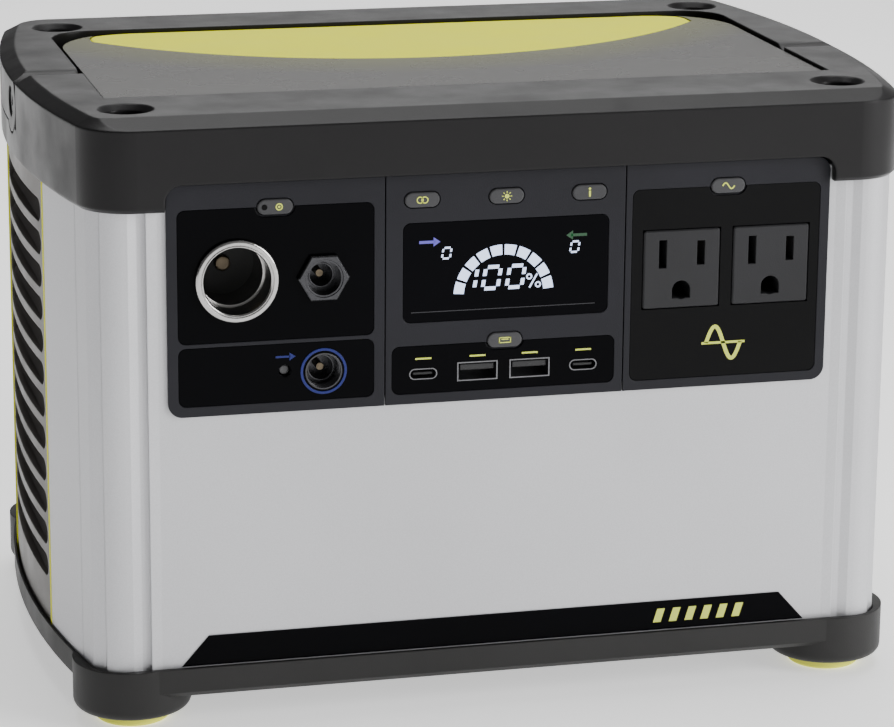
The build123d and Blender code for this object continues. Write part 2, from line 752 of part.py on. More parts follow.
def make_bezel_ac():
    left = SEAM_RIGHT + SEAM_GAP / 2
    block = bezel_block(left, PANEL_RIGHT, left, PANEL_RIGHT - CORE_INSET)
    with BuildPart() as bezel:
        add(block)
        with BuildSketch(front(PANEL_FACE_Y)):
            with Locations(middle(INLAYS["inlay_ac"])):
                RectangleRounded(*size(INLAYS["inlay_ac"]), INLAY_CORNER)
        extrude(amount=-INLAY_DEPTH, mode=Mode.SUBTRACT)
        with BuildSketch(front(PANEL_FACE_Y - 3)):
            with Locations(*[(x, OUTLET_Z) for x in OUTLETS.values()]):
                Rectangle(OUTLET_WIDTH + 2 * OUTLET_GAP, OUTLET_HEIGHT + 2 * OUTLET_GAP)
            with Locations(BUTTONS["button_ac"]):
                button_slot(BUTTON_GAP)
        cut_through()
    save(bezel, "bezel_ac")


def make_inlay(label):
    with BuildPart() as inlay:
        with BuildSketch(front(INLAY_FACE_Y)):
            with Locations(middle(INLAYS[label])):
                RectangleRounded(*size(INLAYS[label], 0.15), INLAY_CORNER)
            for spot in BUTTONS.values():
                with Locations(spot):
                    SlotOverall(BUTTON_WIDTH + 1.6, BUTTON_HEIGHT + 1.6, mode=Mode.SUBTRACT)
            with Locations((SOCKET_X, SOCKET_Z)):
                Circle(SOCKET_TUBE_RADIUS + 0.2, mode=Mode.SUBTRACT)
            with Locations(DC_PORT):
                Circle(DC_BODY_RADIUS + 0.1, mode=Mode.SUBTRACT)
            with Locations(INPUT_PORT):
                Circle(INPUT_BODY_RADIUS + 0.1, mode=Mode.SUBTRACT)
            with Locations(LED):
                Circle(LED_HOLE_RADIUS, mode=Mode.SUBTRACT)
            with Locations(*[(x, OUTLET_Z) for x in OUTLETS.values()]):
                Rectangle(
                    OUTLET_WIDTH + 2 * OUTLET_GAP, OUTLET_HEIGHT + 2 * OUTLET_GAP, mode=Mode.SUBTRACT
                )
            with Locations((-USB_A_X, USB_Z), (USB_A_X, USB_Z)):
                Rectangle(USB_A_SIZE[0] + 0.2, USB_A_SIZE[1] + 0.2, mode=Mode.SUBTRACT)
            with Locations((-USB_C_X, USB_Z), (USB_C_X, USB_Z)):
                SlotOverall(USB_C_SIZE[0] + 0.2, USB_C_SIZE[1] + 0.2, mode=Mode.SUBTRACT)
        extrude(amount=-(INLAY_DEPTH - 0.15))
    save(inlay, label)


def make_display():
    with BuildPart() as window:
        with BuildSketch(front(PANEL_FACE_Y + 0.05)):
            with Locations(middle(WINDOW)):
                RectangleRounded(*size(WINDOW, 0.15), INLAY_CORNER)
        extrude(amount=-(INLAY_DEPTH + 0.1))
    save(window, "display_window")
    with BuildPart() as lcd:
        with BuildSketch(front(PANEL_FACE_Y + 1.1)):
            with Locations(middle(WINDOW)):
                Rectangle(*size(WINDOW, LCD_INSET))
        extrude(amount=-4)
    save(lcd, "lcd_module")


def make_button(label, spot):
    with BuildPart() as button:
        with BuildSketch(front(BUTTON_FACE_Y)):
            with Locations(spot):
                SlotOverall(BUTTON_WIDTH, BUTTON_HEIGHT)
        extrude(amount=-(BUTTON_BACK_Y - BUTTON_FACE_Y))
        fillet(button.faces().sort_by(Axis.Y)[0].edges(), 0.5)
        with BuildSketch(front(BUTTON_FLANGE_Y)):
            with Locations(spot):
                SlotOverall(
                    BUTTON_WIDTH + BUTTON_FLANGE_EXTRA, BUTTON_HEIGHT + BUTTON_FLANGE_EXTRA
                )
        extrude(amount=-1)
    save(button, label)


def make_panel_board():
    with BuildPart() as board:
        with BuildSketch(front(BOARD_FACE_Y)):
            with Locations((0, 139.5)):
                Rectangle(74, 67)
            with Locations((0, 168)):
                Rectangle(164, 10)
        extrude(amount=-BOARD_THICKNESS)
        with BuildSketch(front(SWITCH_FACE_Y)):
            with Locations(*BUTTONS.values()):
                Rectangle(SWITCH_SIZE, SWITCH_SIZE)
        extrude(amount=-(BOARD_FACE_Y - SWITCH_FACE_Y))
    save(board, "panel_board")


def make_socket():
    spot = (SOCKET_X, SOCKET_Z)
    with BuildPart() as shell:
        with BuildSketch(front(SOCKET_FACE_Y)):
            with Locations(spot):
                Circle(SOCKET_RING_RADIUS)
        extrude(amount=-(INLAY_FACE_Y - SOCKET_FACE_Y))
        with BuildSketch(front(INLAY_FACE_Y)):
            with Locations(spot):
                Circle(SOCKET_TUBE_RADIUS)
        extrude(amount=-(SOCKET_BACK_Y - INLAY_FACE_Y))
        with BuildSketch(front(SOCKET_FACE_Y)):
            with Locations(spot):
                Circle(SOCKET_BORE_RADIUS)
        extrude(amount=-(SOCKET_STEP_Y - SOCKET_FACE_Y), mode=Mode.SUBTRACT)
        with BuildSketch(front(SOCKET_STEP_Y)):
            with Locations(spot):
                Circle(SOCKET_DEEP_RADIUS)
        extrude(amount=-(SOCKET_BACK_Y - SOCKET_STEP_Y), mode=Mode.SUBTRACT)
        fillet(shell.faces().sort_by(Axis.Y)[0].edges(), 0.9)
        inner, outer, depth = SOCKET_GROOVE
        with BuildSketch(front(SOCKET_FACE_Y)):
            with Locations(spot):
                Circle(outer)
                Circle(inner, mode=Mode.SUBTRACT)
        extrude(amount=-depth, mode=Mode.SUBTRACT)
    save(shell, "socket_12v_shell")
    with BuildPart() as insulator:
        with BuildSketch(front(SOCKET_BACK_Y)):
            with Locations(spot):
                Circle(SOCKET_TUBE_RADIUS)
                Circle(2.6, mode=Mode.SUBTRACT)
        extrude(amount=-3)
    save(insulator, "socket_12v_insulator")
    with BuildPart() as contact:
        with BuildSketch(front(SOCKET_BACK_Y - 1.5)):
            with Locations(spot):
                Circle(2.5)
        extrude(amount=-6)
        fillet(contact.faces().sort_by(Axis.Y)[0].edges(), 0.8)
    save(contact, "socket_12v_contact")


def make_port_body(label, spot, face_y, outer, bore):
    """Round port: a wide mouth, a collar on the ledge behind it, then the plug bore."""
    step_y = face_y + PORT_STEP
    with BuildPart() as port:
        with BuildSketch(front(face_y)):
            with Locations(spot):
                Circle(outer)
        extrude(amount=-(PORT_BACK_Y - face_y))
        with BuildSketch(front(face_y)):
            with Locations(spot):
                Circle(PORT_MOUTH_RADIUS)
        extrude(amount=-PORT_STEP, mode=Mode.SUBTRACT)
        with BuildSketch(front(step_y)):
            with Locations(spot):
                Circle(bore + PORT_COLLAR_WALL)
        extrude(amount=PORT_COLLAR_HEIGHT)
        with BuildSketch(front(step_y - PORT_COLLAR_HEIGHT)):
            with Locations(spot):
                Circle(bore)
        extrude(amount=-(PORT_FLOOR_Y - step_y + PORT_COLLAR_HEIGHT), mode=Mode.SUBTRACT)
        with BuildSketch(front(PORT_FLOOR_Y)):
            with Locations(spot):
                Circle(PORT_PIN_RADIUS + 0.01)
        extrude(amount=-4, mode=Mode.SUBTRACT)
    save(port, label)


def make_port_details():
    with BuildPart() as nut:
        with BuildSketch(front(DC_NUT_FACE_Y)):
            with Locations(DC_PORT):
                RegularPolygon(DC_NUT_CORNER_RADIUS, 6)
                Circle(DC_BODY_RADIUS + 0.05, mode=Mode.SUBTRACT)
        extrude(amount=-(INLAY_FACE_Y - DC_NUT_FACE_Y))
        chamfer(nut.faces().sort_by(Axis.Y)[0].edges().filter_by(GeomType.LINE), 0.4)
    save(nut, "dc_port_nut")
    with BuildPart() as ring:
        with BuildSketch(front(INLAY_FACE_Y)):
            with Locations(INPUT_PORT):
                Circle(INPUT_RING_RADIUS)
                Circle(INPUT_RING_INNER_RADIUS, mode=Mode.SUBTRACT)
        extrude(amount=0.3)
    save(ring, "input_port_ring")
    with BuildPart() as pins:
        with BuildSketch(front(PORT_PIN_FACE_Y)):
            with Locations(DC_PORT, INPUT_PORT):
                Circle(PORT_PIN_RADIUS)
        extrude(amount=-(PORT_FLOOR_Y + 3 - PORT_PIN_FACE_Y))
    save(pins, "port_pins")
    with BuildPart() as led:
        with BuildSketch(front(LED_FACE_Y)):
            with Locations(LED):
                Circle(LED_RADIUS)
        extrude(amount=-4)
        fillet(led.faces().sort_by(Axis.Y)[0].edges(), 0.5)
    save(led, "input_led")


def make_usb_a(label, x):
    with BuildPart() as shell:
        with BuildSketch(front(USB_FACE_Y)):
            with Locations((x, USB_Z)):
                Rectangle(*USB_A_SIZE)
                Rectangle(
                    USB_A_SIZE[0] - 2 * USB_A_WALL,
                    USB_A_SIZE[1] - 2 * USB_A_WALL,
                    mode=Mode.SUBTRACT,
                )
        extrude(amount=-(USB_BACK_Y - USB_FACE_Y))
        with BuildSketch(front(USB_BACK_Y - 0.6)):
            with Locations((x, USB_Z)):
                Rectangle(*USB_A_SIZE)
        extrude(amount=-0.6)
    save(shell, label)


def make_usb_c(label, x):
    with BuildPart() as shell:
        with BuildSketch(front(USB_FACE_Y)):
            with Locations((x, USB_Z)):
                SlotOverall(*USB_C_SIZE)
                SlotOverall(
                    USB_C_SIZE[0] - 2 * USB_C_WALL,
                    USB_C_SIZE[1] - 2 * USB_C_WALL,
                    mode=Mode.SUBTRACT,
                )
        extrude(amount=-(USB_BACK_Y - USB_FACE_Y))
        with BuildSketch(front(USB_BACK_Y - 0.6)):
            with Locations((x, USB_Z)):
                SlotOverall(*USB_C_SIZE)
        extrude(amount=-0.6)
    save(shell, label)


def make_usb_tongues():
    with BuildPart() as tongues:
        with BuildSketch(front(USB_FACE_Y + 0.8)):
            with Locations((-USB_A_X, USB_Z + 1.2), (USB_A_X, USB_Z + 1.2)):
                Rectangle(11.0, 1.8)
            with Locations((-USB_C_X, USB_Z), (USB_C_X, USB_Z)):
                Rectangle(6.2, 0.8)
        extrude(amount=-(USB_BACK_Y - 0.65 - USB_FACE_Y - 0.8))
    save(tongues, "usb_tongues")


def ground_hole(x):
    """Ground hole: round on top, straight sides and a flat bottom."""
    straight = GROUND_HEIGHT - GROUND_WIDTH / 2
    with BuildSketch() as hole:
        with Locations((x, BLADE_Z - GROUND_DROP)):
            Circle(GROUND_WIDTH / 2)
        with Locations((x, BLADE_Z - GROUND_DROP - straight / 2)):
            Rectangle(GROUND_WIDTH, straight)
    return hole.sketch


def make_outlet(label, x):
    with BuildPart() as outlet:
        with BuildSketch(front(OUTLET_FACE_Y)):
            with Locations((x, OUTLET_Z)):
                RectangleRounded(OUTLET_WIDTH, OUTLET_HEIGHT, 0.8)
        extrude(amount=-(OUTLET_BACK_Y - OUTLET_FACE_Y))
        chamfer(outlet.faces().sort_by(Axis.Y)[0].edges(), 0.4)
        with BuildSketch(front(OUTLET_FACE_Y)):
            for sign, height in zip((-1, 1), BLADE_HEIGHTS):
                with Locations((x + sign * BLADE_SPACING, BLADE_Z)):
                    Rectangle(BLADE_WIDTH, height)
            add(ground_hole(x))
        extrude(amount=-BLADE_DEPTH, mode=Mode.SUBTRACT)
    save(outlet, label)


def make_outlet_contacts():
    """Brass leaves deep inside the blade slots."""
    depth = 8.0
    with BuildPart() as contacts:
        with BuildSketch(front(OUTLET_FACE_Y + BLADE_DEPTH - depth)):
            for x in OUTLETS.values():
                for sign, height in zip((-1, 1), BLADE_HEIGHTS):
                    edge = x + sign * (BLADE_SPACING + BLADE_WIDTH / 2 - 0.35)
                    with Locations((edge, BLADE_Z)):
                        Rectangle(0.6, height - 1.5)
        extrude(amount=-(depth - 0.05))
    save(contacts, "outlet_contacts")


def make_battery():
    with BuildPart() as cells:
        with BuildSketch(Plane.XY.offset(CELL_BOTTOM)):
            with Locations(CELL_CENTRE):
                with GridLocations(CELL_PITCH, CELL_PITCH, CELL_COLUMNS, CELL_ROWS):
                    Circle(CELL_RADIUS)
        extrude(amount=CELL_LENGTH)
    save(cells, "battery_cells")
    cell_top = CELL_BOTTOM + CELL_LENGTH
    with BuildPart() as holders:
        for bottom in (TRAY_FLOOR + 0.02, cell_top + 2 - HOLDER_THICKNESS):
            with BuildSketch(Plane.XY.offset(bottom)):
                with Locations(CELL_CENTRE):
                    RectangleRounded(*HOLDER_SIZE, 4)
            extrude(amount=HOLDER_THICKNESS)
        with BuildSketch(Plane.XY.offset(CELL_BOTTOM - 0.02)):
            with Locations(CELL_CENTRE):
                with GridLocations(CELL_PITCH, CELL_PITCH, CELL_COLUMNS, CELL_ROWS):
                    Circle(CELL_RADIUS + 0.1)
        extrude(amount=CELL_LENGTH + 0.04, mode=Mode.SUBTRACT)
    save(holders, "cell_holders")
    with BuildPart() as board:
        with BuildSketch(Plane.XY.offset(cell_top + 2.02)):
            with Locations((-60, 12)):
                Rectangle(50, 70)
        extrude(amount=BOARD_THICKNESS)
        with BuildSketch(Plane.XY.offset(cell_top + 2.02 + BOARD_THICKNESS)):
            with Locations((-60, 12)):
                with GridLocations(12, 12, 3, 5):
                    Rectangle(6, 5)
        extrude(amount=2)
    save(board, "battery_board")


def make_inverter():
    """Power board on its spacers, with heat sink, transformer and capacitors."""
    base = CELL_BOTTOM + CELL_LENGTH + 2.02
    level = base + 10
    with BuildPart() as inverter:
        with BuildSketch(Plane.XY.offset(level)):
            with Locations((0, 12)):
                Rectangle(120, 84)
        extrude(amount=2)
        with BuildSketch(Plane.XY.offset(base)):
            with Locations((-30, -20), (55, -20), (-30, 44), (55, 44)):
                Circle(3)
        extrude(amount=10)
        with BuildSketch(Plane.XY.offset(level + 2)):
            with Locations((35, 12)):
                Rectangle(40, 80)
        extrude(amount=5)
        with BuildSketch(Plane.XY.offset(level + 7)):
            with Locations((35, 12)):
                with GridLocations(4.5, 1, 9, 1):
                    Rectangle(1.6, 80)
        extrude(amount=24)
        with BuildSketch(Plane.XY.offset(level + 2)):
            with Locations((-10, 30)):
                Rectangle(32, 30)
        extrude(amount=28)
        with BuildSketch(Plane.XY.offset(level + 2)):
            with Locations((-45, 10)):
                with GridLocations(18, 20, 1, 3):
                    Circle(8)
        extrude(amount=32)
    save(inverter, "inverter_board")


def make_fan():
    outer_x = FAN_INNER_X + FAN_DEPTH
    with BuildPart() as frame:
        with BuildSketch(Plane.YZ.offset(FAN_INNER_X)):
            with Locations((0, FAN_Z)):
                RectangleRounded(FAN_SIZE, FAN_SIZE, 4)
                Circle(FAN_BORE_RADIUS, mode=Mode.SUBTRACT)
        extrude(amount=FAN_DEPTH)
        with BuildSketch(Plane.YZ.offset(FAN_INNER_X)):
            with Locations((0, FAN_Z)):
                Circle(FAN_HUB_RADIUS)
                Rectangle(2 * FAN_BORE_RADIUS + 1, 4, rotation=45)
                Rectangle(2 * FAN_BORE_RADIUS + 1, 4, rotation=-45)
        extrude(amount=2)
        with BuildSketch(Plane.YZ.offset(FAN_INNER_X)):
            with Locations((0, FAN_Z)):
                Circle(FAN_BEARING_RADIUS)
        extrude(amount=2, mode=Mode.SUBTRACT)
        leg_top = FAN_Z - FAN_SIZE / 2 + 2
        with BuildSketch(Plane.XY.offset(TRAY_FLOOR + 0.02)):
            with Locations((FAN_INNER_X + FAN_DEPTH / 2, -22), (FAN_INNER_X + FAN_DEPTH / 2, 22)):
                Rectangle(FAN_DEPTH - 4, 8)
        extrude(amount=leg_top - TRAY_FLOOR - 0.02)
    save(frame, "fan_frame")
    with BuildPart() as rotor:
        with BuildSketch(Plane.YZ.offset(FAN_INNER_X + 2.6)):
            with Locations((0, FAN_Z)):
                Circle(FAN_HUB_RADIUS)
        extrude(amount=FAN_DEPTH - 3.6)
        with BuildSketch(Plane.YZ.offset(FAN_INNER_X + 0.2)):
            with Locations((0, FAN_Z)):
                Circle(FAN_SHAFT_RADIUS)
        extrude(amount=3)
        for k in range(FAN_BLADES):
            turn = 2 * pi * k / FAN_BLADES
            outward = (0, cos(turn), sin(turn))
            root = (
                (FAN_INNER_X + outer_x) / 2 + 0.5,
                (FAN_HUB_RADIUS - 1) * cos(turn),
                FAN_Z + (FAN_HUB_RADIUS - 1) * sin(turn),
            )
            pitch = radians(35)
            chord = (cos(pitch), -sin(pitch) * sin(turn), sin(pitch) * cos(turn))
            with BuildSketch(Plane(origin=root, x_dir=chord, z_dir=outward)):
                Rectangle(11, 1.2)
            extrude(amount=FAN_TIP_RADIUS - FAN_HUB_RADIUS)
    save(rotor, "fan_rotor")


os.makedirs("parts", exist_ok=True)

make_base_tray()
for y_name, y_sign in (("front", -1), ("rear", 1)):
    make_shell(f"{y_name}_shell", y_sign)
    for x_name, x_sign in (("left", -1), ("right", 1)):
        make_foot(f"foot_{y_name}_{x_name}", x_sign * BOOT_X, y_sign * BOOT_Y)
        make_trim(f"trim_{y_name}_{x_name}", x_sign, y_sign)
for x_name, x_sign in (("left", -1), ("right", 1)):
    make_vent_panel(f"{x_name}_vent_panel", x_sign)
    make_usb_a(f"usb_a_{x_name}", x_sign * USB_A_X)
    make_usb_c(f"usb_c_{x_name}", x_sign * USB_C_X)

make_top_cover()
make_deck()
make_handle()
make_pivot_hardware()
make_case_screws()
make_nameplate()

make_bezel_12v()
make_bezel_display()
make_bezel_ac()
for inlay_name in INLAYS:
    make_inlay(inlay_name)
make_display()
for button_name, button_spot in BUTTONS.items():
    make_button(button_name, button_spot)
make_panel_board()

make_socket()
make_port_body("dc_port_body", DC_PORT, DC_FACE_Y, DC_BODY_RADIUS, DC_BORE_RADIUS)
make_port_body("input_port_body", INPUT_PORT, INPUT_FACE_Y, INPUT_BODY_RADIUS, INPUT_BORE_RADIUS)
make_port_details()
make_usb_tongues()
for outlet_name, outlet_x in OUTLETS.items():
    make_outlet(outlet_name, outlet_x)
make_outlet_contacts()

make_battery()
make_inverter()
make_fan()
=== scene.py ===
import math

import bmesh
import bpy
from mathutils import Matrix, Vector


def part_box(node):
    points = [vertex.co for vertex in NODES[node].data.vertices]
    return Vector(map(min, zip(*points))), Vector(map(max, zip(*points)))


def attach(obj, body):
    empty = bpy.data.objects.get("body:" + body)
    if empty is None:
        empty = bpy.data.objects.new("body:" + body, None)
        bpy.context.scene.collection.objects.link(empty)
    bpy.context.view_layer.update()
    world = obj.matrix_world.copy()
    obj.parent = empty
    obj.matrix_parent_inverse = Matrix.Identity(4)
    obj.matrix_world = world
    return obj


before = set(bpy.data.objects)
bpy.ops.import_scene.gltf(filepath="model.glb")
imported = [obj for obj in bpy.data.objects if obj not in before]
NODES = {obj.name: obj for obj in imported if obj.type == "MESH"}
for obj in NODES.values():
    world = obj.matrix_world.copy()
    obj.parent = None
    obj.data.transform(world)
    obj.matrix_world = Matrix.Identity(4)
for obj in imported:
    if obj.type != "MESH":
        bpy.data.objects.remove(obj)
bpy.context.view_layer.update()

MM = 0.001
SKIN = 0.00004  # how far printed marks stand off the surface they lie on
INK_THICKNESS = 0.00003

LIME = (0.94, 0.96, 0.035)
LIME_INK = (0.72, 0.80, 0.12)
ARC_Y = 0.1351  # the lime insert's arc on the deck: centre and radius
ARC_RADIUS = 0.1371
PAINTED_REFLECTION_REACH = 0.028  # how far the painted reflection of the lime insert reaches over the deck
THREAD_RADIUS = 0.0054  # wall of the input port's mouth


# ---------------------------------------------------------------- materials

class Nodes:
    """Short helpers for building one material's node tree."""

    def __init__(self, name):
        self.material = bpy.data.materials.new(name)
        self.material.use_nodes = True
        self.tree = self.material.node_tree
        self.shader = self.tree.nodes["Principled BSDF"]
        self.place = self.node("ShaderNodeTexCoord").outputs["Object"]

    def node(self, kind, **inputs):
        made = self.tree.nodes.new(kind)
        for key, value in inputs.items():
            self.give(made.inputs[key.replace("_", " ")], value)
        return made

    def give(self, socket, value):
        if isinstance(value, bpy.types.NodeSocket):
            self.tree.links.new(value, socket)
        else:
            socket.default_value = value

    def math(self, operation, first, second):
        made = self.node("ShaderNodeMath")
        made.operation = operation
        self.give(made.inputs[0], first)
        made.inputs[1].default_value = second
        return made.outputs["Value"]

    def noise(self, scale, detail=4.0, stretch=None):
        """Noise at so many features a metre, stretched along an axis if asked."""
        place = self.place
        if stretch:
            mapping = self.node("ShaderNodeMapping", Vector=place)
            mapping.inputs["Scale"].default_value = stretch
            place = mapping.outputs["Vector"]
        return self.node("ShaderNodeTexNoise", Vector=place, Scale=scale, Detail=detail).outputs["Fac"]

    def ramp(self, factor, *stops):
        """Colour ramp through (position, colour) stops; a number stands for a grey."""
        made = self.node("ShaderNodeValToRGB", Fac=factor)
        elements = made.color_ramp.elements
        while len(elements) < len(stops):
            elements.new(0.5)
        for element, (position, colour) in zip(elements, stops):
            element.position = position
            if isinstance(colour, (int, float)):
                colour = (colour,) * 3
            element.color = (*colour, 1)
        return made.outputs["Color"]

    def bump(self, height, strength, distance, edge=0.0):
        """Relief from a height, over edges that a small radius softens."""
        made = self.node("ShaderNodeBump", Height=height, Strength=strength, Distance=distance)
        if edge:
            bevel = self.node("ShaderNodeBevel", Radius=edge)
            bevel.samples = 6
            self.give(made.inputs["Normal"], bevel.outputs["Normal"])
        self.give(self.shader.inputs["Normal"], made.outputs["Normal"])

    def set(self, **inputs):
        for key, value in inputs.items():
            self.give(self.shader.inputs[key.replace("_", " ")], value)
        return self.material


def mixed(colour, factor):
    """A colour made lighter or darker by a factor."""
    return tuple(min(1.0, c * factor) for c in colour)


def moulded(name, colour, rough, grain=2600.0, relief=0.25, edge=0.0006, spread=0.18, specular=0.3):
    """Moulded plastic: fine spark-eroded grain, faint flow shading and scuffed gloss."""
    n = Nodes(name)
    cloud = n.noise(14.0, 5.0)
    fine = n.noise(grain, 2.0)
    wear = n.noise(55.0, 6.0)
    tone = n.ramp(cloud, (0.3, mixed(colour, 1 - spread)), (0.7, mixed(colour, 1 + spread)))
    gloss = n.ramp(wear, (0.3, max(0.02, rough - 0.07)), (0.72, min(1.0, rough + 0.08)))
    n.bump(fine, relief, 0.00012, edge)
    n.set(Base_Color=tone, Roughness=gloss, Specular_IOR_Level=specular)
    return n.material


def deck_with_painted_lime_reflection(name, colour, glow, rough):
    """Deck plastic with a painted reflection of the lime insert: olive along the deck's arc, fading to the
    deck's own colour away from it.
    """
    n = Nodes(name)
    flat = n.node("ShaderNodeMapping", Vector=n.place)
    flat.inputs["Location"].default_value = (0, -ARC_Y, 0)
    flat.inputs["Scale"].default_value = (1, 1, 0)
    length = n.node("ShaderNodeVectorMath", Vector=flat.outputs["Vector"])
    length.operation = "LENGTH"
    away = n.math("SUBTRACT", length.outputs["Value"], ARC_RADIUS)
    painted_reflection_fade = n.math("MULTIPLY", away, 1 / PAINTED_REFLECTION_REACH)
    # painted reflection: olive at the lime insert's arc, fading to the deck's own colour further out
    tone = n.ramp(painted_reflection_fade, (0.0, glow), (0.35, mixed(glow, 0.75)), (1.0, colour))
    n.bump(n.noise(3000.0, 2.0), 0.06, 0.0001, 0.0003)
    gloss = n.ramp(n.noise(40.0, 3.0), (0.3, rough - 0.02), (0.7, rough + 0.03))
    n.set(Base_Color=tone, Roughness=gloss, Specular_IOR_Level=0.26)
    return n.material


def metal(name, colour, rough, grain, stretch=None, relief=0.12, edge=0.0004, speckle=0.55,
          metallic=1.0):
    """Metal with blasted or drawn grain and small changes of gloss."""
    n = Nodes(name)
    cloud = n.noise(9.0, 4.0)
    fine = n.noise(grain, 3.0, stretch)
    speck = n.noise(grain * 0.4, 2.0, stretch)
    tone = n.ramp(cloud, (0.25, mixed(colour, 0.94)), (0.75, mixed(colour, 1.04)))
    blend = n.node("ShaderNodeMix")
    blend.data_type = "RGBA"
    blend.blend_type = "MULTIPLY"
    blend.inputs["Factor"].default_value = speckle
    n.give(blend.inputs[6], tone)
    n.give(blend.inputs[7], n.ramp(speck, (0.32, 0.72), (0.68, 1.0)))
    n.bump(fine, relief, 0.00008, edge)
    gloss = n.ramp(fine, (0.3, max(0.03, rough - 0.06)), (0.7, rough + 0.06))
    n.set(Base_Color=blend.outputs[2], Metallic=metallic, Roughness=gloss)
    return n.material


def glowing(name, colour, strength):
    """Lit display segment, its brightness varying a little at random along it."""
    n = Nodes(name)
    glow = n.ramp(n.noise(900.0, 1.0), (0.2, mixed(colour, 0.9)), (0.8, colour))
    n.set(Base_Color=(0.01, 0.01, 0.01, 1), Emission_Color=glow, Emission_Strength=strength)
    return n.material


def circuit(name):
    """Green circuit board with copper tracks under the lacquer."""
    n = Nodes(name)
    tracks = n.node("ShaderNodeTexBrick", Vector=n.place, Scale=160.0)
    colours = {"Color1": (0.01, 0.10, 0.04), "Color2": (0.012, 0.13, 0.05), "Mortar": (0.05, 0.22, 0.07)}
    for socket, colour in colours.items():
        tracks.inputs[socket].default_value = (*colour, 1)
    n.bump(n.noise(900.0), 0.15, 0.0001)
    n.set(Base_Color=tracks.outputs["Color"], Roughness=0.35)
    return n.material


MATERIALS = {
    "lid": moulded(
        "lid_plastic", (0.010, 0.0095, 0.010), 0.36,
        grain=2200.0, relief=0.22, edge=0.0011, specular=0.22,
    ),
    # the deck's colour carries a painted olive reflection of the lime insert near its rear arc
    "deck": deck_with_painted_lime_reflection("deck_plastic", (0.040, 0.037, 0.034), (0.10, 0.10, 0.025), 0.27),
    "tray": moulded(
        "tray_plastic", (0.022, 0.0215, 0.021), 0.50,
        grain=2000.0, relief=0.35, specular=0.25,
    ),
    "vent": moulded(
        "vent_plastic", (0.135, 0.125, 0.118), 0.42,
        grain=2400.0, relief=0.25, specular=0.25,
    ),
    "bezel": moulded(
        "bezel_plastic", (0.014, 0.014, 0.018), 0.46,
        grain=2400.0, relief=0.45, edge=0.0004, specular=0.2,
    ),
    "gloss": moulded(
        "gloss_black", (0.0012, 0.0012, 0.0018), 0.16,
        grain=900.0, relief=0.03, edge=0.0002, specular=0.04,
    ),
    "matte": moulded(
        "matte_black", (0.0045, 0.0045, 0.0048), 0.44,
        grain=2600.0, relief=0.3, edge=0.0002, specular=0.08,
    ),
    "window": moulded(
        "window_glass", (0.0012, 0.0012, 0.002), 0.10,
        grain=400.0, relief=0.01, edge=0.0002, specular=0.04,
    ),
    "outlet": moulded(
        "outlet_plastic", (0.026, 0.026, 0.028), 0.42,
        grain=2200.0, relief=0.35, edge=0.0004, specular=0.2,
    ),
    "inner": moulded("insulator_plastic", (0.030, 0.030, 0.030), 0.55, grain=1500.0, relief=0.3),
    "fan": moulded("fan_plastic", (0.022, 0.022, 0.022), 0.45, grain=1500.0, relief=0.2),
    "nylon": moulded("white_nylon", (0.62, 0.62, 0.58), 0.45, grain=1500.0, relief=0.15),
    "lime": moulded(
        "lime_plastic", LIME, 0.40,
        grain=2600.0, relief=0.12, spread=0.02, edge=0.0004, specular=0.02,
    ),
    "ink": moulded("lime_ink", LIME_INK, 0.42, grain=4000.0, relief=0.1, spread=0.05, edge=0.0),
    "faint_ink": moulded(
        "faint_ink", (0.035, 0.035, 0.04), 0.45,
        grain=4000.0, relief=0.1, spread=0.05, edge=0.0,
    ),
    "foot": moulded("foot_rubber", (0.86, 0.87, 0.10), 0.70, grain=1500.0, relief=0.5, spread=0.1),
    "button": moulded(
        "button_rubber", (0.058, 0.058, 0.061), 0.50,
        grain=2200.0, relief=0.35, edge=0.0004, specular=0.2,
    ),
    "blue": moulded("blue_plastic", (0.010, 0.018, 0.15), 0.34, grain=2000.0, relief=0.15, edge=0.0002),
    "lens": moulded("led_lens", (0.10, 0.10, 0.105), 0.15, grain=800.0, relief=0.05, edge=0.0002),
    "tongue": moulded("tongue_plastic", (0.03, 0.03, 0.031), 0.50, grain=1800.0, relief=0.2),
    "wrap": moulded("cell_wrap", (0.04, 0.16, 0.30), 0.35, grain=1200.0, relief=0.1),
    "aluminium": metal(
        "shell_aluminium", (0.66, 0.66, 0.68), 0.52, 5200.0,
        relief=0.4, edge=0.0005, speckle=0.25, metallic=0.55,
    ),
    "chrome": metal(
        "bright_chrome", (0.52, 0.51, 0.50), 0.16, 1200.0,
        relief=0.03, edge=0.0003, speckle=0.2,
    ),
    "steel": metal("dark_steel", (0.16, 0.16, 0.165), 0.30, 1600.0, relief=0.1, edge=0.0002),
    "port": metal("port_metal", (0.075, 0.075, 0.08), 0.30, 1400.0, relief=0.12, edge=0.0002),
    "usb": metal("usb_steel", (0.20, 0.20, 0.21), 0.32, 1400.0, (1, 6, 1), relief=0.1, edge=0.0001),
    "brass": metal("contact_brass", (0.16, 0.13, 0.09), 0.38, 1400.0, relief=0.1, edge=0.0002),
    "board": circuit("circuit_board"),
    "glow_white": glowing("display_white", (0.62, 0.72, 1.0), 2.6),
    "glow_blue": glowing("display_blue", (0.156, 0.127, 0.716), 1.1),
    "glow_green": glowing("display_green", (0.007, 0.085, 0.024), 1.1),
}

